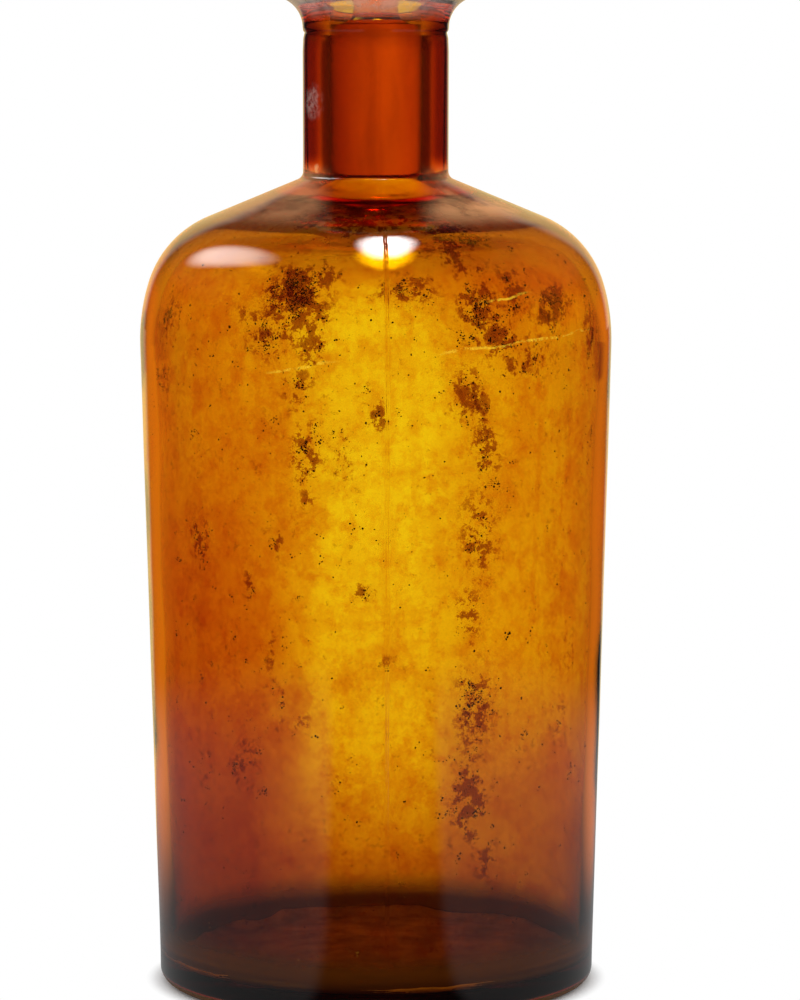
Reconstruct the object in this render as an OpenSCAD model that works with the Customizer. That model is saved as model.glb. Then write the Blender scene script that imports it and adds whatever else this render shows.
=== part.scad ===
// Stock bottle of an apothecary: blown amber glass with a flared lip and a ground glass stopper.
// Origin: middle of the standing ring. +Z up, -Y is the side that the camera sees.

/* [Body] */
// Outside diameter where the shoulder starts, the widest place
body_d = 100.5; // [90:0.5:125]
// Outside diameter at the heel
heel_d = 93.2; // [84:0.2:120]
// Height of the widest place above the table
shoulder_z = 138; // [90:1:220]
// Wall thickness of the body
wall_t = 3; // [1.8:0.1:4.5]
// Radius of the heel's outer edge
heel_r = 3; // [1.5:0.1:5]

/* [Base] */
// Thickness of the base above the standing ring
base_t = 5; // [3:0.1:8]
// Width of the flat ring that the bottle stands on
ring_w = 5; // [3:0.5:9]
// Depth of the hollow under the base
kick_h = 2.2; // [1:0.1:5]
// How much higher the floor is in the middle
floor_rise = 1.6; // [0.5:0.1:4]
// Radius inside, between floor and wall
floor_r = 6; // [3:0.5:10]

/* [Shoulder] */
// Radius of the shoulder's lower curve
shoulder_low_r = 41.8; // [32:0.2:60]
// Angle that the lower curve turns through
shoulder_low_turn = 17; // [10:0.5:26]
// Radius of the shoulder's upper curve
shoulder_high_r = 22; // [16:0.2:30]
// Slope of the shoulder where it meets the neck, in degrees
shoulder_slope = 22.5; // [14:0.5:32]
// Slope that the shoulder's inside reaches before it turns level, in degrees
shoulder_in_slope = 21; // [16:0.5:26]
// Radius at which the inside turns level towards the neck
shoulder_level_r = 30; // [26:0.5:31]
// Wall thickness of the shoulder where its inside starts to turn level
shoulder_t = 3.8; // [3:0.1:5.5]

/* [Neck] */
// Outside diameter of the neck
neck_d = 31; // [27:0.2:38]
// Length of the neck's straight part, up to the lip's joint
neck_len = 29.3; // [18:0.1:45]
// Radius of the curve between shoulder and neck
neck_fillet_r = 1.8; // [1:0.1:5]
// Bore of the neck at the top of the lip
bore_top_d = 19.8; // [16:0.1:22]
// Taper of the ground bore, in mm of diameter for each 100 mm of length
bore_taper = 1.6; // [0:0.1:4]
// Radius where the bore opens into the shoulder
root_r = 8.5; // [5:0.5:11]
// Depth of the groove at the lip's joint
joint_groove = 0.4; // [0.1:0.1:0.8]

/* [Lip] */
// Outside diameter of the lip
lip_d = 46; // [42:0.5:60]
// Thickness of the lip's edge
lip_t = 3.2; // [2:0.1:5]
// Radius of the hollow curve under the lip
flare_r = 6.6; // [4:0.2:7.4]
// Height of the plain ring between the joint and the flare
lip_plain_h = 1; // [0.8:0.1:4]
// Radius of the mouth's rounded edge
mouth_r = 3; // [1:0.1:4]

/* [Stopper] */
// Radial clearance between shank and bore
fit_gap = 0.06; // [0.03:0.01:0.1]
// Height of the shank's end above the foot of the bore
shank_end_h = 2; // [1:0.5:8]
// Depth below the lip's top where the ground shank ends
shank_top_depth = 8.8; // [4:0.2:14]
// Chamfer at the shank's lower end
shank_chamfer = 1; // [0.5:0.1:2]
// Diameter of the waist under the grip
waist_d = 10; // [8:0.2:14]
// Diameter of the upright round grip
grip_d = 34; // [26:0.5:44]
// Thickness of the grip in the middle
grip_t = 11; // [10:0.2:16]
// Thickness of the grip at its rim
grip_rim_t = 7; // [5:0.2:9]
// Gap between the lip's top and the grip
grip_gap = 1.6; // [0.6:0.1:4]

/* [Mould seam] */
// Width of the ridge that the mould's joint left
seam_w = 0.9; // [0.4:0.1:1.6]
// Height of the ridge
seam_h = 0.25; // [0.1:0.05:0.4]
// Angle of the front ridge from the front, towards +X
seam_turn = 3; // [-20:1:20]

/* [Residue] */
// Thickness of the dried layer on the floor
residue_t = 0.6; // [0.3:0.1:1.5]
// Thickness of the crust on the wall
crust_t = 0.3; // [0.2:0.05:0.6]

/* [Hidden] */
$fn = 96;
// Largest turn between two points of a curved outline, in degrees
arc_step = 4;
// Points of an outline closer than this are one point
same_point = 0.001;
amber = [0.72, 0.36, 0.04, 0.8];
pale_amber = [0.80, 0.44, 0.08, 0.8];
dark_amber = [0.60, 0.28, 0.03, 0.9];
soot_brown = [0.17, 0.09, 0.05];

// The wall leans outwards on its way up to the shoulder
lean = atan((body_d - heel_d) / 2 / (shoulder_z - heel_r));
low_c = [body_d / 2 - shoulder_low_r, shoulder_z];
high_c = low_c + (shoulder_low_r - shoulder_high_r) * aim(shoulder_low_turn);
shoulder_end = 90 - shoulder_slope;
shoulder_in_end = 90 - shoulder_in_slope;
neck_r = neck_d / 2;
ring_out_r = heel_d / 2 - heel_r;
ring_in_r = ring_out_r - ring_w;

// Heights, each one standing on the one before
shoulder_out = high_c + shoulder_high_r * aim(shoulder_end);
shoulder_in = high_c + (shoulder_high_r - shoulder_t) * aim(shoulder_in_end);
neck_z = neck_fillet_c()[1];
joint_z = neck_z + neck_len;
flare_z = joint_z + lip_plain_h;
lip_top_z = flare_z + flare_r + lip_t;
bore_foot_r = bore_r(neck_z);
level_z = shoulder_in[1] + (shoulder_in[0] - shoulder_level_r) * tan(shoulder_in_slope);
bore_foot_z = level_z + root_r;
shank_z0 = bore_foot_z + shank_end_h;
shank_z1 = lip_top_z - shank_top_depth;
shank_step = bore_r(shank_z1) - fit_gap - waist_d / 2;
grip_z = lip_top_z + grip_gap + grip_d / 2;

// The seam's groove is cut half from the neck's end and half from the lip
groove_neck_h = 4;
groove_lip_h = 0.6;

// Patches of crust on the inside: angle from the front towards +X, height as a share of the
// shoulder's height, radius
crusts = [
    [-19, 1.04, 5], [-14, 0.99, 4.5], [-23, 0.96, 3.5], [-27, 1.07, 3], [-19, 0.81, 3],
    [-16, 0.86, 3.5], [27, 1.09, 4], [31, 1.03, 4.5], [24, 1.01, 3], [46, 1.04, 3],
    [14, 1.06, 3], [1, 0.88, 2], [-60, 0.98, 3], [-62, 0.93, 2], [25, 0.38, 3],
    [28, 0.32, 3.5], [26, 0.25, 3], [-2, 0.19, 2], [120, 1.01, 5.5], [128, 0.95, 4.5],
    [150, 0.87, 3], [205, 1.06, 5], [212, 0.99, 3.5], [240, 0.65, 3.5]
];

function aim(a) = [cos(a), sin(a)];

// Points on an arc about c, while its radius goes from r0 to r1
function arc(c, r0, r1, a0, a1) =
    let(n = max(2, ceil(abs(a1 - a0) / arc_step)))
    [for (i = [0:n]) c + (r0 + (r1 - r0) * i / n) * aim(a0 + (a1 - a0) * i / n)];

// An outline without points that repeat the one before
function clean(pts) =
    [for (i = [0:len(pts) - 1]) if (i == 0 || norm(pts[i] - pts[i - 1]) > same_point) pts[i]];

// Centre of the round between the shoulder and the neck
function neck_fillet_c() =
    let(r = neck_r + neck_fillet_r)
    [r, shoulder_out[1] + (shoulder_out[0] - r) * tan(shoulder_slope) + neck_fillet_r / cos(shoulder_slope)];

// Points on a curve from a to c that heads for b at both ends
function curve(a, b, c) = [for (i = [1:8]) let(k = i / 8) a * (1 - k) ^ 2 + b * 2 * k * (1 - k) + c * k ^ 2];

function back(pts) = [for (i = [len(pts) - 1:-1:0]) pts[i]];

// Points from the axis out to radius r, on a dome that is h high in the middle
function dome(r, z, h) =
    let(big_r = (r * r + h * h) / (2 * h))
    arc([0, z + h - big_r], big_r, big_r, 90, 90 - asin(r / big_r));

// Shoulder up to an end angle, with the wall taken off, from t0 below it to t1 at its top
function shoulder(t0, t1, end) =
    let(t_mid = t0 + (t1 - t0) * (lean + shoulder_low_turn) / (lean + end))
    concat(
        arc(low_c, shoulder_low_r - t0, shoulder_low_r - t_mid, -lean, shoulder_low_turn),
        arc(high_c, shoulder_high_r - t_mid, shoulder_high_r - t1, shoulder_low_turn, end)
    );

// Radius of the tapered bore at a height
function bore_r(z) = bore_top_d / 2 - bore_taper / 100 * (lip_top_z - z) / 2;

// Outside of wall, shoulder and neck, grown by g
function side(g) =
    let(fillet_c = neck_fillet_c())
    concat(
        [[ring_out_r, heel_r] + (heel_r + g) * aim(-lean)],
        shoulder(-g, -g, shoulder_end),
        arc(fillet_c, neck_fillet_r - g, neck_fillet_r - g, 270 - shoulder_slope, 180),
        [[neck_r + g, joint_z - groove_neck_h]]
    );

// Inside from the floor's middle to the foot of the bore, with a layer of thickness t on it
function inside(t) =
    let(
        top = low_c + (shoulder_low_r - wall_t - t) * aim(-lean),
        z_c = base_t + floor_r,
        down = (top[1] + (floor_r - t) * sin(lean) - z_c) / cos(lean),
        floor_c = top - down * [sin(lean), cos(lean)] - (floor_r - t) * aim(-lean)
    )
    concat(
        dome(floor_c[0], base_t + t, floor_rise),
        arc(floor_c, floor_r - t, floor_r - t, -90, -lean),
        shoulder(wall_t + t, shoulder_t + t, shoulder_in_end)
    );

// Bottle: kick, standing ring, body, shoulder and thick neck, blown as one piece of glass
module bottle() {
    root_c = [bore_foot_r + root_r, bore_foot_z];
    outline = concat(
        dome(ring_in_r, 0, kick_h),
        arc([ring_out_r, heel_r], heel_r, heel_r, -90, -lean),
        side(0),
        [[neck_r - joint_groove, joint_z], [bore_r(joint_z), joint_z]],
        back(arc(root_c, root_r, root_r, 270, 180)),
        back(curve(shoulder_in, [shoulder_level_r, level_z], [root_c[0], level_z])),
        back(inside(0))
    );
    color(amber) {
        rotate_extrude() polygon(clean(outline));
        for (half = [0, 180]) seam_ridge(half);
    }
}

// Ridge along the outside where the two halves of the mould met
module seam_ridge(half) {
    sink = 0.5;
    turn = seam_w / (body_d / 2) * 180 / PI;
    ridge = concat(side(seam_h), back(side(-sink)));
    rotate([0, 0, half - 90 + seam_turn - turn / 2]) rotate_extrude(angle = turn) polygon(clean(ridge));
}

// Lip: ring of glass laid on the neck's end and tooled outwards
module flared_lip() {
    edge_r = lip_t / 2;
    edge_c = [lip_d / 2 - edge_r, lip_top_z - edge_r];
    outline = concat(
        [[bore_r(joint_z), joint_z], [neck_r - joint_groove, joint_z], [neck_r, joint_z + groove_lip_h]],
        arc([neck_r + flare_r, flare_z], flare_r, flare_r, 180, 90),
        arc(edge_c, edge_r, edge_r, -90, 90),
        arc([bore_top_d / 2 + mouth_r, lip_top_z - mouth_r], mouth_r, mouth_r, 90, 180)
    );
    color(pale_amber) rotate_extrude() polygon(clean(outline));
}

// Stopper: ground shank that fits the bore, waist and upright round grip, pressed as one piece
module stopper() {
    foot_r = bore_r(shank_z0) - fit_gap;
    outline = concat(
        [[0, shank_z0], [foot_r - shank_chamfer, shank_z0]],
        [[bore_r(shank_z0 + shank_chamfer) - fit_gap, shank_z0 + shank_chamfer]],
        [[bore_r(shank_z1) - fit_gap, shank_z1]],
        arc([waist_d / 2 + shank_step, shank_z1 + shank_step], shank_step, shank_step, 270, 180),
        [[waist_d / 2, grip_z], [0, grip_z]]
    );
    color(dark_amber) {
        rotate_extrude() polygon(clean(outline));
        translate([0, 0, grip_z]) rotate([90, 0, 0]) rotate_extrude() polygon(clean(grip_outline()));
    }
}

// Half outline of the grip: two slightly crowned faces and a rounded rim
function grip_outline() =
    let(
        rim_r = grip_rim_t / 2,
        rim_c = grip_d / 2 - rim_r,
        face = dome(rim_c, rim_r, (grip_t - grip_rim_t) / 2)
    )
    concat(face, arc([rim_c, 0], rim_r, rim_r, 90, -90), [for (p = back(face)) [p[0], -p[1]]]);

// Residue: dried layer on the floor, and crusts of it on the inside of wall and shoulder
module dried_residue() {
    color(soot_brown) {
        rotate_extrude() polygon(clean(concat(floor_part(0), back(floor_part(residue_t)))));
        intersection() {
            rotate_extrude() polygon(clean(concat(wall_part(0), back(wall_part(crust_t)))));
            union() for (c = crusts) crust_blob(c[0], c[1] * shoulder_z, c[2]);
        }
    }
}

// The part of the inside that lies below the floor's corner, and the part above it
function floor_part(t) = [for (p = inside(t)) if (p[1] <= base_t + floor_r) p];
function wall_part(t) = [for (p = inside(t)) if (p[1] > base_t + floor_r / 2) p];

// Prism that cuts one crust out of the skin
module crust_blob(turn, z, r) {
    reach = body_d / 2;
    rotate([0, 0, turn - 90]) translate([reach / 2, 0, z]) rotate([0, 90, 0]) cylinder(r = r, h = reach);
}

bottle();
flared_lip();
stopper();
dried_residue();
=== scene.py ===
import math
import bpy
import bmesh
import numpy as np
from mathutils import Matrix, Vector, noise


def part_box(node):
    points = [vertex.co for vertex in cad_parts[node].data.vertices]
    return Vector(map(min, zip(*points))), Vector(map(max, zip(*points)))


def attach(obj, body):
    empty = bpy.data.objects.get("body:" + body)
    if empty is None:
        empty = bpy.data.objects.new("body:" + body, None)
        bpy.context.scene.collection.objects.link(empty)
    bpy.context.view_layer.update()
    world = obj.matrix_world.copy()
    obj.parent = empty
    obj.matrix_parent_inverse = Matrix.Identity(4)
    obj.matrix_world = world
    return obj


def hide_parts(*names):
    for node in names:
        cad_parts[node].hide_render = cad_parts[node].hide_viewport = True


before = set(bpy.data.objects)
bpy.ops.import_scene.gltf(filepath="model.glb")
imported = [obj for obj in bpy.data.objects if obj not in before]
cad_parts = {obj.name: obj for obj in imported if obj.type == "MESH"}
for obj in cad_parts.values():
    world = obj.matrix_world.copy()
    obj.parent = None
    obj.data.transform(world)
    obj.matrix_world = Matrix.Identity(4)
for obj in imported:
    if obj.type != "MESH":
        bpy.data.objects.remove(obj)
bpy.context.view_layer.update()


# Vessel of blown amber glass: body, shoulder and neck from a two-part mould, and the lip laid
# on and tooled outwards. Hot glass fused the two, so they are one piece here. The bore is
# ground matt for the stopper, and the mould's joint stands as a fine ridge front and back.

MM = 0.001
body_r, heel_r = 50.25, 46.6
shoulder_z, wall_t = 138.0, 3.0
heel_round, base_t, ring_w = 3.0, 5.0, 5.0
kick_h, floor_rise, floor_round = 2.2, 1.6, 6.0
low_round, low_turn = 41.8, 17.0
high_round, slope, shoulder_t = 22.0, 22.5, 3.8
inner_slope, level_r = 21.0, 30.0
neck_r, neck_round, root_round = 15.5, 1.8, 8.5
mouth_r, bore_taper, bore_plain_h = 9.9, 0.008, 7.6
lip_r, lip_t, flare_round, mouth_round = 23.0, 3.2, 6.6, 3.0
neck_len, lip_plain_h, joint_groove = 29.3, 1.0, 0.4
# The groove at the lip's joint as (share of its depth, height above the joint)
joint_shape = ((0, -4), (0.3, -1.2), (1, 0), (0.25, 0.4), (0, 1))
seam_w, seam_h, seam_turn = 0.8, 0.17, 3.0
# Heights where the seam's ridge has these shares of its full height
seam_fade_z, seam_fade = (10, 90, 160, 180), (0.35, 1, 1, 0.3)
# Waves of the glass as (size, depth, place in the noise)
outer_wave, inner_wave = (24, 0.05, 3), (34, 0.22, 9)
around = 256
outer_step, close_step, inner_step = 3.0, 1.5, 2.4
# Crusts on the inside as (degrees from the front, height, half width, half height, thickness)
crusts = [
    (-20, 148, 6.5, 7.5, 1.0), (-14, 153, 5, 4, 0.6), (-27, 141, 4, 4, 0.7), (-33, 146, 4, 3, 0.4),
    (-15, 139, 3, 4, 0.7), (-19, 131, 4, 5, 0.5), (-17, 118, 4, 7, 0.6), (-26, 124, 3, 4, 0.3),
    (27, 147, 4.5, 8, 0.9), (23, 157, 4, 4, 0.7), (31, 141, 5, 3.5, 1.0), (38, 150, 5, 6, 0.5),
    (48, 145, 3, 3, 0.9), (14, 152, 2.5, 3, 0.5), (36, 135, 5, 2.5, 0.6), (28, 118, 4, 9, 0.55),
    (23, 130, 4, 6, 0.6), (1, 125.5, 1.6, 2.6, 1.0), (-3, 131, 3, 1.2, 0.6), (-66, 131, 4, 4, 0.6),
    (-58, 145, 5, 5, 0.35), (-2, 90, 2.6, 1.4, 1.0), (3, 75, 2, 3, 0.35), (27, 100, 5, 12, 0.5),
    (24, 84, 4, 7, 0.5), (26, 66, 5, 9, 0.6), (25, 46, 4.5, 9, 0.8), (30, 33, 4, 6, 0.5),
    (-19, 62, 3, 4, 0.35), (-10, 50, 3, 3, 0.3), (-17, 109, 2, 3, 0.5), (-25, 100, 1.6, 4, 0.6),
    (-33, 90, 1.4, 5, 0.6), (-27, 76, 1.4, 6, 0.45), (-24, 66, 1.2, 5, 0.4), (55, 60, 5, 8, 0.3),
    (-50, 50, 5, 8, 0.3), (-8, 162, 22, 2.5, 0.7), (24, 160, 12, 3, 0.6), (180, 162, 22, 2.5, 0.6),
    (76, 150, 6, 6, 0.6), (95, 140, 7, 6, 0.8), (88, 118, 5, 8, 0.4), (120, 146, 7, 6, 0.9),
    (131, 133, 5, 5, 0.6), (150, 120, 4, 6, 0.5), (172, 149, 8, 5, 0.7), (190, 108, 4, 9, 0.35),
    (205, 148, 7, 6, 0.9), (214, 138, 5, 5, 0.6), (240, 92, 5, 8, 0.5), (262, 143, 6, 6, 0.6),
    (275, 60, 5, 12, 0.35), (150, 48, 6, 10, 0.45), (110, 70, 5, 12, 0.3), (222, 40, 6, 9, 0.4)]
crust_r = 47.0


def aim(degrees):
    return np.array([math.cos(math.radians(degrees)), math.sin(math.radians(degrees))])


def arc(centre, r0, r1, a0, a1, step=3.0):
    """Points on an arc while its radius goes from r0 to r1, angles in degrees."""
    count = max(2, math.ceil(abs(a1 - a0) / step))
    share = [i / count for i in range(count + 1)]
    return [centre + (r0 + (r1 - r0) * k) * aim(a0 + (a1 - a0) * k) for k in share]


def dome(r, z, h):
    """Points from the axis out to radius r, on a dome that is h high in the middle."""
    big = (r * r + h * h) / (2 * h)
    edge = 90 - math.degrees(math.asin(r / big))
    return arc(np.array([0, z + h - big]), big, big, 90, edge, 1.0)


def curve(start, bend, end):
    """Points on a curve from start to end that heads for bend at both ends."""
    share = [i / 8 for i in range(1, 9)]
    return [start * (1 - k) ** 2 + bend * 2 * k * (1 - k) + end * k ** 2 for k in share]


def corner(e, r, f, incline):
    """Centre of the round between the shoulder's slope through e and a wall of radius r."""
    s = math.radians(incline)
    return np.array([r + f, e[1] + (e[0] - r - f) * math.tan(s) + f / math.cos(s)])


lean = math.degrees(math.atan((body_r - heel_r) / (shoulder_z - heel_round)))
low_c = np.array([body_r - low_round, shoulder_z])
high_c = low_c + (low_round - high_round) * aim(low_turn)
high_end = 90 - slope
fillet_c = corner(high_c + high_round * aim(high_end), neck_r, neck_round, slope)
joint_z = fillet_c[1] + neck_len
flare_z = joint_z + lip_plain_h
lip_top = flare_z + flare_round + lip_t


def bore_r(z):
    return mouth_r - bore_taper * (lip_top - z)


def shoulder(t0, t1, end):
    """The shoulder's two curves with a wall of t0 at the bottom to t1 at the top taken off."""
    t_mid = t0 + (t1 - t0) * (lean + low_turn) / (lean + end)
    low = arc(low_c, low_round - t0, low_round - t_mid, -lean, low_turn)
    return low + arc(high_c, high_round - t_mid, high_round - t1, low_turn, end)


def inner_wall():
    """Inside from the floor's middle to the top of the shoulder."""
    top = low_c + (low_round - wall_t) * aim(-lean)
    s, c = math.sin(math.radians(lean)), math.cos(math.radians(lean))
    down = (top[1] + floor_round * s - base_t - floor_round) / c
    centre = top - down * np.array([s, c]) - floor_round * aim(-lean)
    bottom = dome(centre[0], base_t, floor_rise)
    bottom += arc(centre, floor_round, floor_round, -90, -lean, 6.0)
    return bottom + shoulder(wall_t, shoulder_t, 90 - inner_slope)


def spaced(points, longest):
    """The points without repeats, and with more where two lie further apart than longest."""
    out = [np.array(points[0], float)]
    for p in points[1:]:
        way = np.array(p, float) - out[-1]
        gap = np.hypot(*way)
        if gap < 0.02:
            continue
        count = max(1, math.ceil(gap / longest))
        start = out[-1]
        out += [start + way * (i + 1) / count for i in range(count)]
    return out


def vessel_outline():
    """Closed outline from under the base, up the outside and down the inside, as (r, z, zone)."""
    ring_c = np.array([heel_r - heel_round, heel_round])
    under = dome(ring_c[0] - ring_w, 0, kick_h) + arc(ring_c, heel_round, heel_round, -90, -lean, 9.0)
    outer = shoulder(0, 0, high_end) + arc(fillet_c, neck_round, neck_round, 270 - slope, 180, 6.0)
    lip = [(neck_r - joint_groove * share, joint_z + above) for share, above in joint_shape]
    lip += arc(np.array([neck_r + flare_round, flare_z]), flare_round, flare_round, 180, 90, 6.0)
    lip += arc(np.array([lip_r - lip_t / 2, lip_top - lip_t / 2]), lip_t / 2, lip_t / 2, -90, 90, 12.0)
    mouth_c = np.array([mouth_r + mouth_round, lip_top - mouth_round])
    lip += arc(mouth_c, mouth_round, mouth_round, 90, 180, 6.0)
    inside = inner_wall()
    roof = inside[-1]
    level_z = roof[1] + (roof[0] - level_r) * math.tan(math.radians(inner_slope))
    root_c = np.array([bore_r(fillet_c[1]) + root_round, level_z + root_round])
    root = arc(root_c, root_round, root_round, 180, 270, 9.0)
    inside += curve(roof, np.array([level_r, level_z]), np.array([root_c[0], level_z]))
    parts = ((under, outer_step, "out"), (outer, outer_step, "out"), (lip, close_step, "out"))
    parts += ((root, close_step, "bore"), (inside[::-1], inner_step, "in"))
    outline = []
    for points, longest, zone in parts:
        points = ([outline[-1][:2]] if outline else []) + list(points)
        for r, z in spaced(points, longest)[1 if outline else 0:]:
            in_mouth = zone == "out" and r < mouth_r + 0.01 and z > joint_z / 2
            outline.append((r, z, "bore" if in_mouth else zone))
    return outline


def turn_angles():
    """Angles in degrees round the axis, closer together across the two seams."""
    front = -90 + seam_turn
    nearest = 0.45
    fine = [0.15, 0.3, 0.45, 0.6, 0.8]
    close = [front + half + s * f for half in (0, 180) for s in (-1, 1) for f in fine]
    close += [front, front + 180]
    even = [360 * i / around - 180 for i in range(around)]
    clear = [a for a in even if all(abs((a - c + 180) % 360 - 180) > nearest for c in close)]
    return sorted((a + 180) % 360 - 180 for a in clear + close)


def seam_bump(angle):
    """Height of the mould's ridge at an angle, in mm, where it stands highest."""
    front = -90 + seam_turn
    off = min(abs((angle - front - half + 180) % 360 - 180) for half in (0, 180))
    across = math.radians(off) * body_r / (seam_w / 2)
    return seam_h * math.exp(-2.0 * across ** 2)


def waviness(r, z, a, size, depth, shift):
    """How far hot glass flowed out of true, for a bump of that size, in mm."""
    x, y = r * math.cos(a), r * math.sin(a)
    return depth * noise.fractal(Vector((x / size + shift, y / size, z / size)), 1.0, 2.0, 2)


def lathe(name, rings, angles):
    """Mesh from rings of radii and heights, one list of (r, z) per ring, closed at the axis."""
    bm = bmesh.new()
    rows = []
    for ring in rings:
        if ring[0][0] < 1e-6:
            rows.append([bm.verts.new((0, 0, ring[0][1] * MM))])
            continue
        row = []
        for (r, z), a in zip(ring, angles):
            row.append(bm.verts.new((r * math.cos(a) * MM, r * math.sin(a) * MM, z * MM)))
        rows.append(row)
    return mesh_of_rows(name, bm, rows)


def mesh_of_rows(name, bm, rows):
    """Mesh with faces between rows of vertices. A row of one vertex is a pole."""
    for low, high in zip(rows, rows[1:]):
        for i in range(max(len(low), len(high))):
            j = (i + 1) % max(len(low), len(high))
            face = [low[i % len(low)], low[j % len(low)], high[j % len(high)], high[i % len(high)]]
            bm.faces.new(list(dict.fromkeys(face)))
    mesh = bpy.data.meshes.new(name)
    bm.to_mesh(mesh)
    bm.free()
    return mesh


def new_piece(name, mesh):
    for face in mesh.polygons:
        face.use_smooth = True
    piece = bpy.data.objects.new(name, mesh)
    bpy.context.scene.collection.objects.link(piece)
    return piece


def point_values(mesh, name, values):
    """A number per vertex that a material can read."""
    layer = mesh.attributes.new(name, "FLOAT", "POINT")
    layer.data.foreach_set("value", values)


def crust(angle, z):
    """How thickly dried residue clings to the inside, at degrees from the front and a height."""
    most = 0.0
    for turn, height, wide, high, much in crusts:
        across = ((angle - turn + 180) % 360 - 180) * math.radians(1) * crust_r / wide
        most = max(most, much * math.exp(-across ** 2 - ((z - height) / high) ** 2))
    return most


def vessel_mesh():
    """The outline turned round the axis, with its seams and waves, and each point's zone."""
    angles = [math.radians(a) for a in turn_angles()]
    seams = [seam_bump(math.degrees(a)) for a in angles]
    rings, ground, inner, crusted = [], [], [], []
    for r, z, zone in vessel_outline():
        has_seam = zone == "out" and heel_round < z < joint_z - 4 and r > neck_r - 0.01
        has_waves = zone == "out" and z > heel_round and r > neck_r - 1
        seam_share = np.interp(z, seam_fade_z, seam_fade) if has_seam else 0.0
        ring = []
        for a, bump in zip(angles, seams):
            if r < 1e-6:
                ring.append((0.0, z))
                continue
            more = bump * seam_share
            if has_waves:
                more += waviness(r, z, a, *outer_wave) - outer_wave[1]
            if zone == "in":
                more += waviness(r, z, a, *inner_wave)
            ring.append((r + more, z))
        rings.append(ring)
        count = 1 if r < 1e-6 else len(angles)
        ground += [1.0 if zone == "bore" and z < lip_top - bore_plain_h else 0.0] * count
        inner += [1.0 if zone == "in" else 0.0] * count
        crusted += [crust(math.degrees(a) + 90, z) if zone == "in" else 0.0 for a in angles[:count]]
    mesh = lathe("vessel_glass", rings, angles)
    point_values(mesh, "ground", ground)
    point_values(mesh, "inside", inner)
    point_values(mesh, "crust", crusted)
    return mesh


def srgb(code):
    """Linear colour of an sRGB hex code."""
    parts = [int(code[i:i + 2], 16) / 255 for i in (0, 2, 4)]
    linear = [p / 12.92 if p <= 0.04045 else ((p + 0.055) / 1.055) ** 2.4 for p in parts]
    return (*linear, 1.0)


def add(tree, kind, settings=None, inputs=None):
    """Adds a node, sets its properties, and sets or links its inputs."""
    node = tree.nodes.new(kind)
    for name, value in (settings or {}).items():
        setattr(node, name, value)
    for name, value in (inputs or {}).items():
        if isinstance(value, bpy.types.NodeSocket):
            tree.links.new(value, node.inputs[name])
        else:
            node.inputs[name].default_value = value
    return node


def pattern(tree, on, *rows):
    """A value over the surface, as a sum of rows. A row is an amount times what comes after it:
    names of values in on, and smooth steps (name, low, high), which are 0 at low and 1 at high."""
    total = 0.0
    for amount, *factors in rows:
        for factor in factors:
            if factor not in on:
                name, low, high = factor
                step = add(tree, "ShaderNodeMapRange", {"interpolation_type": "SMOOTHSTEP"}, {
                    "Value": on[name], "From Min": low, "From Max": high})
                on[factor] = step.outputs[0]
        product = on[factors[0]] if factors else 1.0
        for factor in factors[1:]:
            both = {0: product, 1: on[factor]}
            product = add(tree, "ShaderNodeMath", {"operation": "MULTIPLY"}, both).outputs[0]
        more = {0: product, 1: amount, 2: total}
        total = add(tree, "ShaderNodeMath", {"operation": "MULTIPLY_ADD"}, more).outputs[0]
    return total


def coloured(tree, on, colour, *coats):
    """A colour with coats over it. A coat is a colour and the factors that say where it lies."""
    for coat, *factors in coats:
        share = pattern(tree, on, (1.0, *factors))
        colour = add(tree, "ShaderNodeMix", {"data_type": "RGBA"}, {0: share, 6: colour, 7: coat}).outputs[2]
    return colour


def new_material(name):
    material = bpy.data.materials.new(name)
    material.use_nodes = True
    material.node_tree.nodes.clear()
    return material, material.node_tree


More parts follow.
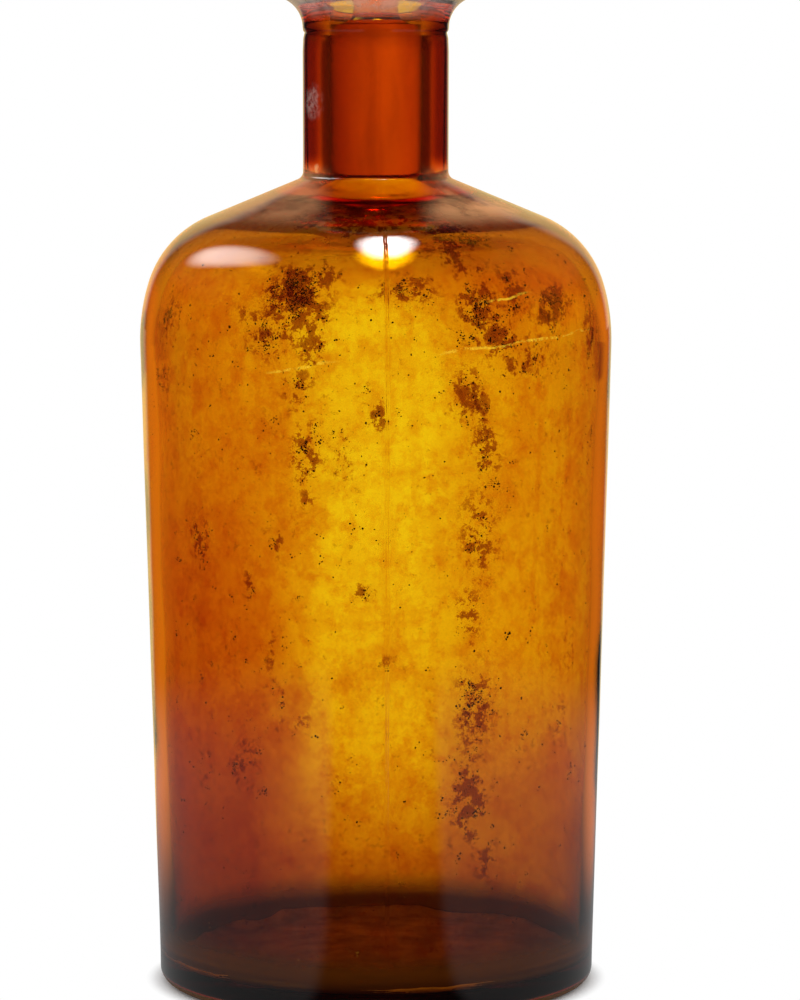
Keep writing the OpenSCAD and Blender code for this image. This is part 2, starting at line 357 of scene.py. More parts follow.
def read_surface(tree):
    """What the glass's patterns are made of: where a point lies in mm, which zone of the vessel
    it is in, how slantwise it is seen through, and noises with blotches of a known size."""
    metres = add(tree, "ShaderNodeTexCoord").outputs["Object"]
    in_mm = add(tree, "ShaderNodeVectorMath", {"operation": "SCALE"}, {0: metres, "Scale": 1 / MM})
    on = {"place": in_mm.outputs[0]}
    for name, shares in (("drawn out", (1, 1, 0.12)), ("level", (1, 1, 0))):
        scaled = add(tree, "ShaderNodeVectorMath", {"operation": "MULTIPLY"}, {0: on["place"], 1: shares})
        on[name] = scaled.outputs[0]
    on["x"], on["y"], on["height"] = add(tree, "ShaderNodeSeparateXYZ", None, {0: on["place"]}).outputs
    radius = add(tree, "ShaderNodeVectorMath", {"operation": "LENGTH"}, {0: on["level"]})
    on["from axis"] = radius.outputs["Value"]
    for name in ("ground", "inside", "crust"):
        on[name] = add(tree, "ShaderNodeAttribute", {"attribute_name": name}).outputs["Fac"]
    # Noises as (what they follow, blotch in mm, detail, roughness)
    noises = {
        "cloud": ("place", 22, 5.0, 0.62), "patches": ("place", 9, 6.0, 0.68),
        "mottle": ("place", 3.5, 6.0, 0.7), "fine": ("place", 2.6, 6.0, 0.75),
        "grain": ("place", 0.9, 2.0, 0.6), "streaks": ("drawn out", 5, 3.0, 0.6)}
    for name, (course, blotch, detail, rough) in noises.items():
        texture = add(tree, "ShaderNodeTexNoise", None, {
            "Vector": on[course], "Scale": 1 / blotch, "Detail": detail, "Roughness": rough})
        on[name] = texture.outputs["Fac"]
    on["facing"] = add(tree, "ShaderNodeLayerWeight", None, {"Blend": 0.5}).outputs["Facing"]
    on["bent"] = pattern(tree, on, (1.0, "facing"), (0.12, "cloud"), (-0.06,))
    on["slant"] = pattern(tree, on, (1.0, ("bent", 0.015, 0.1)))
    hidden = add(tree, "ShaderNodeMath", {"operation": "MAXIMUM"}, {0: on["inside"], 1: on["ground"]})
    on["hidden"] = hidden.outputs[0]
    on["outer"] = pattern(tree, on, (1.0,), (-1.0, "hidden"))
    on["crusty"] = pattern(tree, on, (0.17, "crust"), (1.0, "fine"))
    on["crumbs"] = pattern(tree, on, (1.0, ("crusty", 0.57, 0.63), ("crust", 0.05, 0.5)))
    # Painted shade: the sides low down, left and right of the front, are darkened at these heights.
    low_band = (("height", 62, 42), ("height", 22, 34))
    on["painted flank shade"] = pattern(tree, on, (1.0, ("x", -7, -16), *low_band), (1.0, ("x", 11, 20), *low_band))
    # Painted shade: the neck's outside is darkened at its sides, where it is seen at a slant.
    on["painted neck shade"] = pattern(tree, on, (
        1.0, ("height", 174, 178), ("height", 207, 203), "outer", ("facing", 0.2, 0.5)))
    on["less at roof"] = pattern(tree, on, (1.0,), (-0.4, ("height", 150, 162), "inside"))
    return on


def amber_film_and_painted_shade(tree, on):
    """How many layers of the contents' amber film lie at a point, with painted shade added. Seen at
    a slant a film is denser, and here the slant term is made strong enough to leave the middle
    bright and darken the sides as painted shade. The film is thickest on the left, under the
    shoulder on the right and at the foot, and the low sides, the bore seen at a slant and the
    neck's sides get more of it as painted shade."""
    on["foot"] = pattern(tree, on, (0.85, ("height", 46, 16)), (0.2, ("height", 100, 58)))
    on["inner film and painted shade"] = pattern(
        tree, on,
        # The slant rows are partly a real film, denser at a slant, and partly painted shade that leaves the
        # middle bright and darkens the sides.
        (0.7, "slant"),
        (0.6, "slant", ("x", 5, -40), ("height", 125, 82)),
        (0.6, "slant", ("x", 8, 25), ("height", 141, 153)),
        (-0.25, "slant", ("x", 8, 25)),
        (0.3, ("cloud", 0.47, 0.66)),
        (0.35, ("patches", 0.5, 0.6)),
        (0.25, ("streaks", 0.5, 0.75)),
        (0.35, ("mottle", 0.48, 0.66)),
        (0.36, "painted flank shade"),
        (1.0, "foot"),
        (-0.65, "foot", "slant"),
        (1.1, "crumbs"))
    # In the bore the film is denser at a slant, as painted shade for the neck's dark sides, and it is more
    # on the left.
    on["bore film and painted shade"] = pattern(tree, on, (0.5, ("x", 3, -9)), (1.0, ("facing", 0.0, 0.4)))
    return pattern(
        tree, on,
        (1.0, "inner film and painted shade", "inside", "less at roof"),
        (0.7, "ground", "bore film and painted shade", "less at roof"),
        (2.2, "painted neck shade"))


def grey_dirt_and_painted_shade(tree, on):
    """How many layers of dull dirt lie at a point, with painted shade added: inside more of it
    towards the foot, where it is denser at a slant as painted shade, specks and crumbs, a darker
    roof round the neck's root and the low sides darkened as painted shade; outside a heel
    darkened as painted shade, whose edge dips in front, the neck's sides darkened as painted
    shade, and a hazy joint of the lip. In the bore it has streaks and is more on the left."""
    # Dirt that is denser at a slant: partly painted shade that darkens the sides.
    on["veil and painted shade"] = pattern(tree, on, (0.65, "slant"), (0.1,))
    on["uneven"] = pattern(tree, on, (1.2, "cloud"), (0.4,))
    on["specks"] = pattern(tree, on, (1.0, "fine"), (0.3, "cloud"))
    on["inner dirt and painted shade"] = pattern(
        tree, on,
        (1.0, ("height", 80, 25), "veil and painted shade", "uneven"),
        (0.7, ("height", 46, 16)),
        (0.9, ("height", 23, 12)),
        (1.2, ("specks", 0.76, 0.82)),
        (0.3, ("grain", 0.5, 0.9)),
        (2.6, "crumbs"),
        (0.4, "crust"),
        (0.2, "painted flank shade"))
    # The bore: streaks, and darker on the left.
    on["bore streaks and darkening"] = pattern(tree, on, (1.4, ("streaks", 0.45, 0.65)), (2.2, ("x", 5, -7)), (0.5,))
    on["dip"] = add(tree, "ShaderNodeMath", {"operation": "MINIMUM"}, {0: on["y"], 1: 0.0}).outputs[0]
    on["above heel"] = pattern(tree, on, (1.0, "height"), (-0.087, "dip"), (-8.5,))
    return pattern(
        tree, on,
        (1.0, "inner dirt and painted shade", "inside"),
        (0.5, "ground", "bore streaks and darkening"),
        # Painted shade: the heel's outside is darkened below a line that dips in front.
        (3.5, "outer", ("above heel", 1.2, -0.8)),
        (0.9, "outer", ("height", 199, 203), ("height", 211, 206)),
        (1.2, "inside", ("height", 150, 158), ("from axis", 31, 24)),
        # Painted shade at the neck's sides, where they are seen at a slant.
        (5.0, "painted neck shade"))


def pale_dust_and_painted_glint(tree, on):
    """How thickly pale dust covers the outside: at the neck's root, under the lip, on a scuff of
    the neck and along three scratches on the front. A second, small scuff at the foot of the
    neck is a painted highlight, the left lamp's glint."""
    on["beside"] = add(tree, "ShaderNodeMath", {"operation": "ABSOLUTE"}, {0: on["x"]}).outputs[0]
    front = add(tree, "ShaderNodeMath", {"operation": "LESS_THAN"}, {0: on["y"], 1: 0.0})
    on["front"] = front.outputs[0]
    on["not inside"] = pattern(tree, on, (1.0,), (-1.0, "inside"))
    on["more right"] = pattern(tree, on, (1.4,), (1.4, ("x", 8, 25)))
    on["lip patches"] = pattern(tree, on, (1.0, "cloud"), (0.4, "fine"))
    rows = [
        (1.0, ("height", 163, 167), ("height", 176, 173), ("beside", 8, 15), "not inside",
         ("cloud", 0.35, 0.6), "more right"),
        (2.0, "outer", ("height", 205, 210), ("height", 212, 210.5), ("lip patches", 0.5, 0.8))]
    # Scuffs as (middle, radius, amount). The second is a painted highlight: the left lamp's glint at the
    # foot of the neck.
    for middle, size, much in (((-13.2, -8.1, 188.5), 4.5, 0.9), ((-12.4, -9.3, 174.6), 1.2, 2.2)):
        off = add(tree, "ShaderNodeVectorMath", {"operation": "DISTANCE"}, {0: on["place"], 1: middle})
        on[middle] = off.outputs["Value"]
        rows.append((much, (middle, size, size * 0.4), ("fine", 0.42, 0.58), "outer"))
    # Scratches as (first x, last x, height at x 0, rise per mm)
    for first, last, start, rise in ((-23, -6, 138.6, 0.2), (11, 46, 137.0, 0.095), (20, 33, 146.0, 0.12)):
        above = pattern(tree, on, (1.0, "height"), (-rise, "x"), (-5.0, "cloud"), (2.5 - start,))
        on[start] = add(tree, "ShaderNodeMath", {"operation": "ABSOLUTE"}, {0: above}).outputs[0]
        rows.append((2.4, (start, 0.42, 0.1), ("x", first, first + 4), ("x", last, last - 6),
                     "outer", "front", ("fine", 0.4, 0.6)))
    return pattern(tree, on, *rows)


def blown_amber_glass():
    """Blown amber glass: clear, IOR 1.52, iron and sulphur take out blue at once and green
    slowly, so thin walls are yellow and long ways are red-brown. The bore is ground matt.
    Film and dirt tint what passes, with painted shade on the low sides, the neck's sides and the
    heel; dust lies on the outside, with a painted highlight at the foot of the neck; and the foot
    is crusted inside, while its outside underneath is darkened brown as painted shade."""
    material, tree = new_material("blown_amber_glass")
    on = read_surface(tree)
    layers = (amber_film_and_painted_shade(tree, on), grey_dirt_and_painted_shade(tree, on))
    # Share of red, green and blue that one layer of film and one of dirt let through
    clear = {}
    for channel, shares in enumerate(((0.7, 0.62), (0.31, 0.53), (0.15, 0.4))):
        let_through = {}
        for which in (0, 1):
            power = add(tree, "ShaderNodeMath", {"operation": "POWER"}, {0: shares[which], 1: layers[which]})
            let_through[which] = power.outputs[0]
        clear[channel] = add(tree, "ShaderNodeMath", {"operation": "MULTIPLY"}, let_through).outputs[0]
    tint = add(tree, "ShaderNodeCombineColor", None, clear)
    glass = add(tree, "ShaderNodeBsdfPrincipled", None, {
        "Base Color": tint.outputs[0], "Roughness": pattern(tree, on, (0.14, "ground")), "IOR": 1.52,
        "Transmission Weight": on["less at roof"]})
    # Dust is golden on the body, where light comes through it, warm at the root and pale above
    golden, warm, pale = srgb("FFCE30"), srgb("F4B078"), srgb("D2BEB4")
    dust = add(tree, "ShaderNodeBsdfDiffuse", None, {
        "Color": coloured(tree, on, golden, (warm, ("height", 155, 163)), (pale, ("height", 178, 186)))})
    on["dust"] = pale_dust_and_painted_glint(tree, on)
    dusted = add(tree, "ShaderNodeMixShader", None, {
        0: pattern(tree, on, (0.28, "dust")), 1: glass.outputs[0], 2: dust.outputs[0]})
    # The foot is crusted inside with residue, and outside under the base it is darkened brown as painted
    # shade.
    caked_and_painted_shade = add(tree, "ShaderNodeMath", {"operation": "MAXIMUM"}, {
        0: pattern(tree, on, (0.85, "inside", ("height", 16, 9))),
        1: pattern(tree, on, (0.85, "outer", ("height", 2.6, 1.2)))})
    grime_and_painted_shade = add(tree, "ShaderNodeBsdfDiffuse", None, {"Color": srgb("5E4026")})
    surface = add(tree, "ShaderNodeMixShader", None, {
        0: caked_and_painted_shade.outputs[0], 1: dusted.outputs[0], 2: grime_and_painted_shade.outputs[0]})
    volume = add(tree, "ShaderNodeVolumeAbsorption", None, {"Color": srgb("FFF53F"), "Density": 1000.0})
    add(tree, "ShaderNodeOutputMaterial", None, {
        "Surface": surface.outputs[0], "Volume": volume.outputs[0]})
    return material


vessel = new_piece("vessel_glass", vessel_mesh())
vessel.data.materials.append(blown_amber_glass())
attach(vessel, "vessel")
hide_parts("bottle", "flared_lip")


# Stopper of pressed amber glass: a shank ground to the bore's taper, a short waist and an
# upright round grip. It was pressed as one piece, so the section goes smoothly from a circle
# at the waist to a flat rounded disc.

fit_gap = 0.06
stopper_low, stopper_high = (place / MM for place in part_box("stopper"))
shank_z0, grip_top = stopper_low.z, stopper_high.z
shank_z1, shank_chamfer = lip_top - 8.8, 1.0
waist_r, grip_r, grip_half, rim_half = 5.0, 17.0, 5.5, 3.5
waist_half = 4.6
grip_z = grip_top - grip_r
# The disc's outline in plan is an ellipse raised to this power, reached over this height
grip_power, blend_h = 2.8, 8.0
stopper_around = 96


def stopper_section(z):
    """Half widths along X and Y at a height, and the power of the section's outline."""
    if z <= shank_z1:
        r = bore_r(z) - fit_gap - max(0.0, shank_z0 + shank_chamfer - z)
        return r, r, 2.0
    step = bore_r(shank_z1) - fit_gap - waist_r
    if z <= shank_z1 + step:
        r = waist_r + step - math.sqrt(max(0.0, step ** 2 - (shank_z1 + step - z) ** 2))
        return r, r, 2.0
    wide = math.sqrt(max(0.0, grip_r ** 2 - (z - grip_z) ** 2)) if abs(z - grip_z) < grip_r else 0.0
    away = min(1.0, abs(z - grip_z) / grip_r)
    thick = rim_half + (grip_half - rim_half) * (1 - away ** 2)
    thick *= min(1.0, math.sqrt(max(0.0, 1 - max(0.0, (away - 0.8) / 0.2) ** 2)))
    blend = min(1.0, max(0.0, (z - (grip_z - grip_r)) / blend_h))
    power = 2.0 + (grip_power - 2.0) * blend
    if z < grip_z:
        return max(waist_r, wide), max(waist_r + (waist_half - waist_r) * blend, thick), power
    return wide, thick, power


def stopper_mesh():
    heights = [shank_z0, shank_z0 + shank_chamfer / 2, shank_z0 + shank_chamfer]
    heights += list(np.linspace(shank_z0 + 3, shank_z1, 12))
    heights += list(np.linspace(shank_z1 + 0.05, shank_z1 + 5, 16))
    heights += list(np.linspace(shank_z1 + 6, grip_top - 3, 60))
    heights += [grip_top - 3 * k for k in (0.8, 0.6, 0.45, 0.3, 0.2, 0.1, 0.04, 0.01)]
    bm = bmesh.new()
    rows = [[bm.verts.new((0, 0, shank_z0 * MM))]]
    ground = [1.0]
    for z in heights:
        half_x, half_y, power = stopper_section(z)
        row = []
        for i in range(stopper_around):
            t = 2 * math.pi * i / stopper_around
            c, s = math.cos(t), math.sin(t)
            x = half_x * math.copysign(abs(c) ** (2 / power), c)
            y = half_y * math.copysign(abs(s) ** (2 / power), s)
            row.append(bm.verts.new((x * MM, y * MM, z * MM)))
            ground.append(1.0 if z <= shank_z1 + 0.01 else 0.0)
        rows.append(row)
    rows.append([bm.verts.new((0, 0, grip_top * MM))])
    ground.append(0.0)
    mesh = mesh_of_rows("stopper_glass", bm, rows)
    point_values(mesh, "ground", ground)
    return mesh


def pressed_amber_glass():
    """Pressed amber glass, a paler batch than the vessel's. The shank is ground matt."""
    material, tree = new_material("pressed_amber_glass")
    on = {"ground": add(tree, "ShaderNodeAttribute", {"attribute_name": "ground"}).outputs["Fac"]}
    glass = add(tree, "ShaderNodeBsdfPrincipled", None, {
        "Base Color": coloured(tree, on, srgb("FFE2AA"), (srgb("FFFFFF"), "ground")),
        "Roughness": pattern(tree, on, (0.14, "ground")), "IOR": 1.52, "Transmission Weight": 1.0})
    volume = add(tree, "ShaderNodeVolumeAbsorption", None, {"Color": srgb("FEF53F"), "Density": 900.0})
    add(tree, "ShaderNodeOutputMaterial", None, {
        "Surface": glass.outputs[0], "Volume": volume.outputs[0]})
    return material


stopper = new_piece("stopper_glass", stopper_mesh())
stopper.data.materials.append(pressed_amber_glass())
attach(stopper, "stopper")
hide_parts("stopper")


# Dried residue of the last contents: a brown layer on the floor that climbs the wall here and
# there, and flakes that cling to the inside. They lie thickest under the shoulder, where the
# level stood, so they are scattered with the same patches as the crust in the glass.

residue_t, flake_gap = 0.6, 0.05
# Ways along the inside from the floor's middle: where the layer ends and the flakes begin
edge_way, edge_wander, first_flake_way = 42.5, 1.3, 48.0
layer_around, layer_rings = 200, 40
flake_around, flake_ring_gap = 460, 0.6
flakes_per_m2, small_flake, large_flake, flake_seed = 1.3e7, 0.07, 0.3, 7
lump_size, clump_size = 5.0, 3.2
# Share of single specks, which is higher from the shoulder up
speck_z, speck_share = (100, 130), (0.0012, 0.0047)


def inner_path():
    """The inside as points with the way walked from the floor's middle, in mm."""
    points = np.array(spaced(inner_wall(), 0.8))
    steps = np.hypot(*np.diff(points, axis=0).T)
    return points, np.concatenate([[0.0], np.cumsum(steps)])


def deposit_mesh():
    """Closed layer on the floor. Its edge and its thickness wander with the noise."""
    path, walked = inner_path()

    def on_path(way):
        return float(np.interp(way, walked, path[:, 0])), float(np.interp(way, walked, path[:, 1]))

    angles = [2 * math.pi * i / layer_around for i in range(layer_around)]
    top_side, under_side = [], []
    for share in (i / layer_rings for i in range(layer_rings + 1)):
        upper, under = [], []
        for a in angles:
            spot = Vector((2.2 * math.cos(a), 2.2 * math.sin(a), 0))
            way = (edge_way + edge_wander * noise.fractal(spot * 1.6, 1.0, 2.0, 4)) * share
            r, z = on_path(way)
            ahead, rise = np.subtract(on_path(way + 0.5), (r, z))
            size = math.hypot(ahead, rise)
            spot = Vector((r * math.cos(a) / lump_size, r * math.sin(a) / lump_size, z / lump_size))
            lump = noise.fractal(spot, 1.0, 2.0, 3)
            thick = (residue_t - 0.1) * (0.75 + 0.35 * lump) * min(1.0, 8 * (1 - share)) + 0.04
            thick = min(thick, residue_t - 0.02)
            upper.append((max(0.0, r - rise / size * thick) if share else 0.0, z + ahead / size * thick))
            under.append((r, z + 0.01))
        top_side.append(upper)
        under_side.append(under)
    return lathe("floor_deposit", under_side + top_side[::-1], angles)


def flake_ground():
    """The inside as a surface to scatter on, with the flakes' density on its points."""
    path, walked = inner_path()
    angles = [2 * math.pi * i / flake_around - math.pi for i in range(flake_around)]
    rings, density = [], []
    for way in np.arange(first_flake_way, walked[-1] - 1.0, flake_ring_gap):
        r, z = float(np.interp(way, walked, path[:, 0])), float(np.interp(way, walked, path[:, 1]))
        rings.append([(r + waviness(r, z, a, *inner_wave) - flake_gap, z) for a in angles])
        for a in angles:
            spot = Vector((r * math.cos(a) / clump_size, r * math.sin(a) / clump_size, z / clump_size))
            clump = noise.fractal(spot, 0.5, 2.0, 5)
            much = crust(math.degrees(a) + 90, z)
            heap = min(1.0, max(0.0, (clump + 1.1 * much - 0.92) / 0.3))
            density.append(heap + 0.05 * much ** 2 + np.interp(z, speck_z, speck_share))
    mesh = lathe("flake_ground", rings, angles)
    point_values(mesh, "density", density)
    return mesh


def scatter_flakes(ground_object, material):
    """Geometry Nodes: scatters flat lumps of random size over the ground, turned at random."""
    group = bpy.data.node_groups.new("scatter_flakes", "GeometryNodeTree")
    face = group.interface
    face.new_socket("Geometry", in_out="INPUT", socket_type="NodeSocketGeometry")
    face.new_socket("Geometry", in_out="OUTPUT", socket_type="NodeSocketGeometry")
    most = face.new_socket("Most flakes per square metre", in_out="INPUT", socket_type="NodeSocketFloat")
    small = face.new_socket("Smallest half width", in_out="INPUT", socket_type="NodeSocketFloat")
    large = face.new_socket("Largest half width", in_out="INPUT", socket_type="NodeSocketFloat")
    seed = face.new_socket("Seed", in_out="INPUT", socket_type="NodeSocketInt")
    surface, most_in, small_in, large_in, seed_in = add(group, "NodeGroupInput").outputs[:5]
    named = add(group, "GeometryNodeInputNamedAttribute", {"data_type": "FLOAT"}, {0: "density"})
    density = add(group, "ShaderNodeMath", {"operation": "MULTIPLY"}, {0: named.outputs[0], 1: most_in})
    points = add(group, "GeometryNodeDistributePointsOnFaces", None, {
        "Mesh": surface, "Density": density.outputs[0], "Seed": seed_in})
    lump = add(group, "GeometryNodeMeshIcoSphere", None, {"Radius": 1.0, "Subdivisions": 1})
    luck = add(group, "FunctionNodeRandomValue", {"data_type": "FLOAT"}, {2: 0.0, 3: 1.0, 8: seed_in})
    # The luck's third power makes most flakes small
    cubed = add(group, "ShaderNodeMath", {"operation": "POWER"}, {0: luck.outputs[1], 1: 3.0})
    spread = add(group, "ShaderNodeMath", {"operation": "SUBTRACT"}, {0: large_in, 1: small_in})
    size = add(group, "ShaderNodeMath", {"operation": "MULTIPLY_ADD"}, {
        0: cubed.outputs[0], 1: spread.outputs[0], 2: small_in})
    shape = add(group, "FunctionNodeRandomValue", {"data_type": "FLOAT_VECTOR"}, {
        0: (0.55, 0.55, 0.18), 1: (1.2, 1.2, 0.4)})
    scale = add(group, "ShaderNodeVectorMath", {"operation": "SCALE"}, {
        0: shape.outputs[0], "Scale": size.outputs[0]})
    turn = add(group, "FunctionNodeRandomValue", {"data_type": "FLOAT_VECTOR"}, {
        0: (-0.2, -0.2, 0.0), 1: (0.2, 0.2, 6.28)})
    placed = add(group, "GeometryNodeInstanceOnPoints", None, {
        "Points": points.outputs["Points"], "Instance": lump.outputs[0],
        "Rotation": points.outputs["Rotation"], "Scale": scale.outputs[0]})
    spun = add(group, "GeometryNodeRotateInstances", None, {
        "Instances": placed.outputs[0], "Rotation": turn.outputs[0]})
    solid = add(group, "GeometryNodeRealizeInstances", None, {"Geometry": spun.outputs[0]})
    painted = add(group, "GeometryNodeSetMaterial", None, {
        "Geometry": solid.outputs[0], "Material": material})
    add(group, "NodeGroupOutput", None, {0: painted.outputs[0]})
    modifier = ground_object.modifiers.new("flakes", "NODES")
    modifier.node_group = group
    modifier[most.identifier] = flakes_per_m2
    modifier[small.identifier] = small_flake * MM
    modifier[large.identifier] = large_flake * MM
    modifier[seed.identifier] = flake_seed


def dried_brown_residue():
    """Dried brown residue: matt crumbs of a tincture's solids, dark brown, nearly opaque. The
    layer on the floor is paler, because light reaches it through the heel."""
    material, tree = new_material("dried_brown_residue")
    metres = add(tree, "ShaderNodeTexCoord").outputs["Object"]
    in_mm = add(tree, "ShaderNodeVectorMath", {"operation": "SCALE"}, {0: metres, "Scale": 1 / MM})
    blotches = add(tree, "ShaderNodeTexNoise", None, {
        "Vector": in_mm.outputs[0], "Scale": 1 / 8, "Detail": 4.0, "Roughness": 0.6})
    split = add(tree, "ShaderNodeSeparateXYZ", None, {0: in_mm.outputs[0]})
    on = {"blotches": blotches.outputs["Fac"], "height": split.outputs["Z"]}
    patches = ("blotches", 0.3, 0.7)
    layer_colour = coloured(tree, on, srgb("98784A"), (srgb("C8A468"), patches))
    crumb_colour = coloured(tree, on, srgb("3C1C0E"), (srgb("643618"), patches))
    matt = add(tree, "ShaderNodeBsdfPrincipled", None, {
        "Base Color": coloured(tree, on, layer_colour, (crumb_colour, ("height", 16.5, 18))),
        "Roughness": 0.75, "Specular IOR Level": 0.2})
    add(tree, "ShaderNodeOutputMaterial", None, {"Surface": matt.outputs[0]})
    return material


residue_brown = dried_brown_residue()
ground = new_piece("flake_ground", flake_ground())
scatter_flakes(ground, residue_brown)
bpy.context.view_layer.update()
scattered = bpy.data.meshes.new_from_object(ground.evaluated_get(bpy.context.evaluated_depsgraph_get()))
bpy.data.objects.remove(ground)
layer = bmesh.new()
layer.from_mesh(deposit_mesh())
layer.from_mesh(scattered)
joined = bpy.data.meshes.new("dried_residue")
layer.to_mesh(joined)
layer.free()
joined.materials.clear()
joined.materials.append(residue_brown)
residue = new_piece("residue_crumbs", joined)
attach(residue, "vessel")
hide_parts("dried_residue")


# Studio: pale floor, white surroundings and two soft lamps at a plain level. What the glass
# mirrors, outside or inside, is a dark warm room with a lit backdrop straight behind. The
# camera stands at about the height of the lip and looks down a little, as the photograph's does.

white = (1, 1, 1, 1)
backdrop_gold = (1, 0.72, 0.3, 1)
ceiling_brown = (0.66, 0.4, 0.15, 1)
backdrop_edge = (0.88, 0.96)
floor_half = 3.0
# What light that turned back inside the glass shows, from beside the bottle to straight behind
far_room = (
    (0.04, 0.004, 0.002, 1), ((0.16, 0.02, 0.006, 1), ("behind", 0.45, 0.9)),
    ((0.9, 0.42, 0.04, 1), ("behind", 0.7, 0.9)))
near_floor = (
    (0.03, 0.006, 0.002, 1), ((0.85, 0.4, 0.05, 1), ("behind", 0.45, 0.9)),
    (white, ("behind", 0.93, 0.99)))


def sort_rays(tree, on):
    """Marks the rays that show what lies behind (seen), those that glass mirrored on the way
    (mirrored), once at most (once), and those that turned back inside the glass (inner)."""
    on.update(add(tree, "ShaderNodeLightPath").outputs.items())
    for name, operation, first, second in (
            ("direct", "MAXIMUM", "Is Camera Ray", "Is Transmission Ray"),
            ("seen", "MAXIMUM", "direct", "Is Glossy Ray"),
            ("mirrored", "GREATER_THAN", "Glossy Depth", 0.5),
            ("once", "LESS_THAN", "Glossy Depth", 1.5),
            ("inner", "MULTIPLY", "mirrored", "Is Transmission Ray")):
        both = {0: on[first], 1: on.get(second, second)}
        on[name] = add(tree, "ShaderNodeMath", {"operation": operation}, both).outputs[0]


def studio_floor():
    """White paper. Near the foot it is lit and takes the shadow, further off it is plain white."""
    mesh = bpy.data.meshes.new("floor")
    corners = [(-floor_half, -floor_half, 0), (floor_half, -floor_half, 0),
               (floor_half, floor_half, 0), (-floor_half, floor_half, 0)]
    mesh.from_pydata(corners, [], [(0, 1, 2, 3)])
    floor = bpy.data.objects.new("floor", mesh)
    bpy.context.scene.collection.objects.link(floor)
    material, tree = new_material("white_paper")
    place = add(tree, "ShaderNodeTexCoord").outputs["Object"]
    away = add(tree, "ShaderNodeVectorMath", {"operation": "LENGTH"}, {0: place})
    way = add(tree, "ShaderNodeVectorMath", {"operation": "NORMALIZE"}, {0: place})
    front = add(tree, "ShaderNodeVectorMath", {"operation": "DOT_PRODUCT"}, {
        0: way.outputs[0], 1: (0.07, -0.998, 0)})
    on = {"away": away.outputs["Value"], "front": front.outputs["Value"]}
    sort_rays(tree, on)
    on["behind"] = pattern(tree, on, (-1.0, "front"))
    on["backdrop"] = pattern(tree, on, (1.0, ("behind", *backdrop_edge)))
    # What mirrors show of the paper is painted light: it glows faintly near the foot, save a wedge straight
    # in front that is kept dark as a painted shadow, and gold where it lies behind as the backdrop.
    in_mirrors = add(tree, "ShaderNodeMath", {"operation": "MAXIMUM"}, {
        0: pattern(tree, on, (0.02,), (0.26, ("away", 0.45, 0.25), ("front", 0.93, 0.88))),
        1: pattern(tree, on, (0.9, "backdrop"))})
    on["in mirrors"] = in_mirrors.outputs[0]
    strength = pattern(
        tree, on, (1.0,), (-1.0, "mirrored"), (1.0, "mirrored", "in mirrors"),
        (-1.0, "inner", "in mirrors"), (1.0, "inner", ("away", 0.06, 0.22)))
    plain = coloured(tree, on, white, (backdrop_gold, "backdrop", "mirrored"))
    close = coloured(tree, on, *near_floor)
    turned_back = coloured(tree, on, coloured(tree, on, *far_room), (close, ("away", 1.6, 1.5)))
    glow = add(tree, "ShaderNodeEmission", None, {
        "Color": coloured(tree, on, plain, (turned_back, "inner")), "Strength": strength})
    paper = add(tree, "ShaderNodeBsdfDiffuse", None, {"Color": srgb("FAFAFA")})
    glowing = add(tree, "ShaderNodeMath", {"operation": "MAXIMUM"}, {
        0: pattern(tree, on, (1.0, ("away", 0.046, 0.05))), 1: on["mirrored"]})
    on["glowing"] = glowing.outputs[0]
    surface = add(tree, "ShaderNodeMixShader", None, {
        0: pattern(tree, on, (1.0, "glowing", "seen")), 1: paper.outputs[0], 2: glow.outputs[0]})
    add(tree, "ShaderNodeOutputMaterial", None, {"Surface": surface.outputs[0]})
    mesh.materials.append(material)


def softbox(tree, way, direction, side, half_wide, half_high, strength):
    """A soft lamp far away, its half width and height in degrees, as what mirrors show of it."""
    towards = Vector(direction).normalized()
    up = towards.cross(Vector(side)).normalized()
    side = up.cross(towards)
    axes = {
        "across": side / math.sin(math.radians(half_wide)),
        "upwards": up / math.sin(math.radians(half_high)), "ahead": towards}
    on = {}
    for name, axis in axes.items():
        along = add(tree, "ShaderNodeVectorMath", {"operation": "DOT_PRODUCT"}, {0: way, 1: axis})
        on[name] = along.outputs["Value"]
    on["off"] = pattern(tree, on, (1.0, "across", "across"), (1.0, "upwards", "upwards"))
    faced = add(tree, "ShaderNodeMath", {"operation": "GREATER_THAN"}, {0: on["ahead"], 1: 0.0})
    on["faced"] = faced.outputs[0]
    return pattern(tree, on, (strength, ("off", 2.2, 0.0), "faced"))


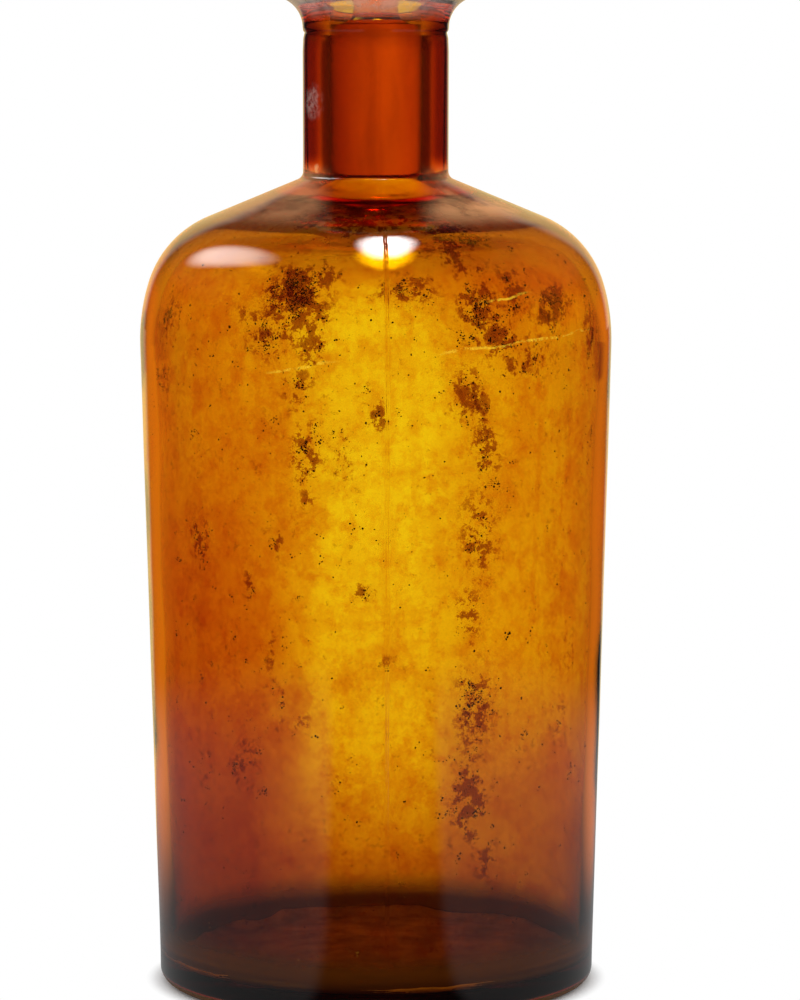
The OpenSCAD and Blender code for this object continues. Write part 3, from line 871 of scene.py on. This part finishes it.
def studio_world():
    """White all round. Mirrored rays see the backdrop, a dim upper room and the two lamps."""
    world = bpy.data.worlds.new("white_surroundings")
    bpy.context.scene.world = world
    world.use_nodes = True
    tree = world.node_tree
    tree.nodes.clear()
    way = add(tree, "ShaderNodeTexCoord").outputs["Generated"]
    split = add(tree, "ShaderNodeSeparateXYZ", None, {0: way}).outputs
    on = {"y": split["Y"], "z": split["Z"]}
    sort_rays(tree, on)
    level = add(tree, "ShaderNodeMath", {"operation": "SQRT"}, {
        0: pattern(tree, on, (1.0,), (-1.0, "z", "z"))})
    behind = add(tree, "ShaderNodeMath", {"operation": "DIVIDE"}, {0: on["y"], 1: level.outputs[0]})
    on["behind"] = behind.outputs[0]
    on["backdrop"] = pattern(tree, on, (1.0, ("behind", *backdrop_edge), ("z", 0.5, 0.3)))
    upper = (("z", 0.2, 0.35), ("z", 0.84, 0.78), ("y", -0.3, 0.1))
    walls = add(tree, "ShaderNodeMath", {"operation": "MAXIMUM"}, {
        0: on["backdrop"], 1: pattern(tree, on, (0.03, *upper), (0.47, "inner", *upper))})
    on["walls"] = walls.outputs[0]
    on["overhead"] = softbox(tree, way, (0.05, 0.02, 0.99), (1, 0, 0), 6.5, 14, 30.0)
    on["window"] = softbox(tree, way, (-0.66, 0.3, 0.68), (-0.07, 0.88, -0.47), 18, 7.5, 6.5)
    on["room"] = pattern(
        tree, on, (0.02,), (0.98, "walls"), (1.0, "once", "overhead"), (1.0, "once", "window"))
    on["zenith"] = pattern(tree, on, (1.0, ("z", 0.7, 0.85)))
    on["shows room"] = pattern(
        tree, on, (1.0, "seen", "mirrored"), (-1.0, "inner"), (1.0, "inner", "zenith"))
    strength = pattern(tree, on, (1.0,), (-1.0, "shows room"), (1.0, "shows room", "room"))
    plain = coloured(tree, on, white, (backdrop_gold, "backdrop", "mirrored"))
    ceiling = (ceiling_brown, ("z", 0.03, 0.12), ("y", -0.3, 0.1))
    turned_back = coloured(tree, on, coloured(tree, on, *far_room), ceiling, (white, "zenith"))
    sky = add(tree, "ShaderNodeBackground", None, {
        "Color": coloured(tree, on, plain, (turned_back, "inner")), "Strength": strength})
    add(tree, "ShaderNodeOutputWorld", None, {"Surface": sky.outputs[0]})


def studio_camera():
    """The photograph's camera, from its frame of 800 by 1000 pixels and the bottle's scale in it."""
    frame_w, frame_h, sensor = 800, 1000, 36
    focal_px, px_per_mm = 4400.0, 471.8 / 101
    tilt, aim_z, axis_px = math.radians(6.2), 0.1035, 376
    away = focal_px / px_per_mm * MM
    side = (frame_w / 2 - axis_px) / px_per_mm * MM
    data = bpy.data.cameras.new("camera")
    data.sensor_width, data.lens = sensor, sensor * focal_px / frame_h
    camera = bpy.data.objects.new("camera", data)
    bpy.context.scene.collection.objects.link(camera)
    camera.location = (side, -away * math.cos(tilt), aim_z + away * math.sin(tilt))
    camera.rotation_euler = (math.pi / 2 - tilt, 0, 0)
    bpy.context.scene.camera = camera


studio_floor()
studio_world()
studio_camera()
bpy.context.scene.view_settings.view_transform = "Standard"
bpy.context.scene.cycles.max_bounces = 24
bpy.context.scene.cycles.transmission_bounces = 24
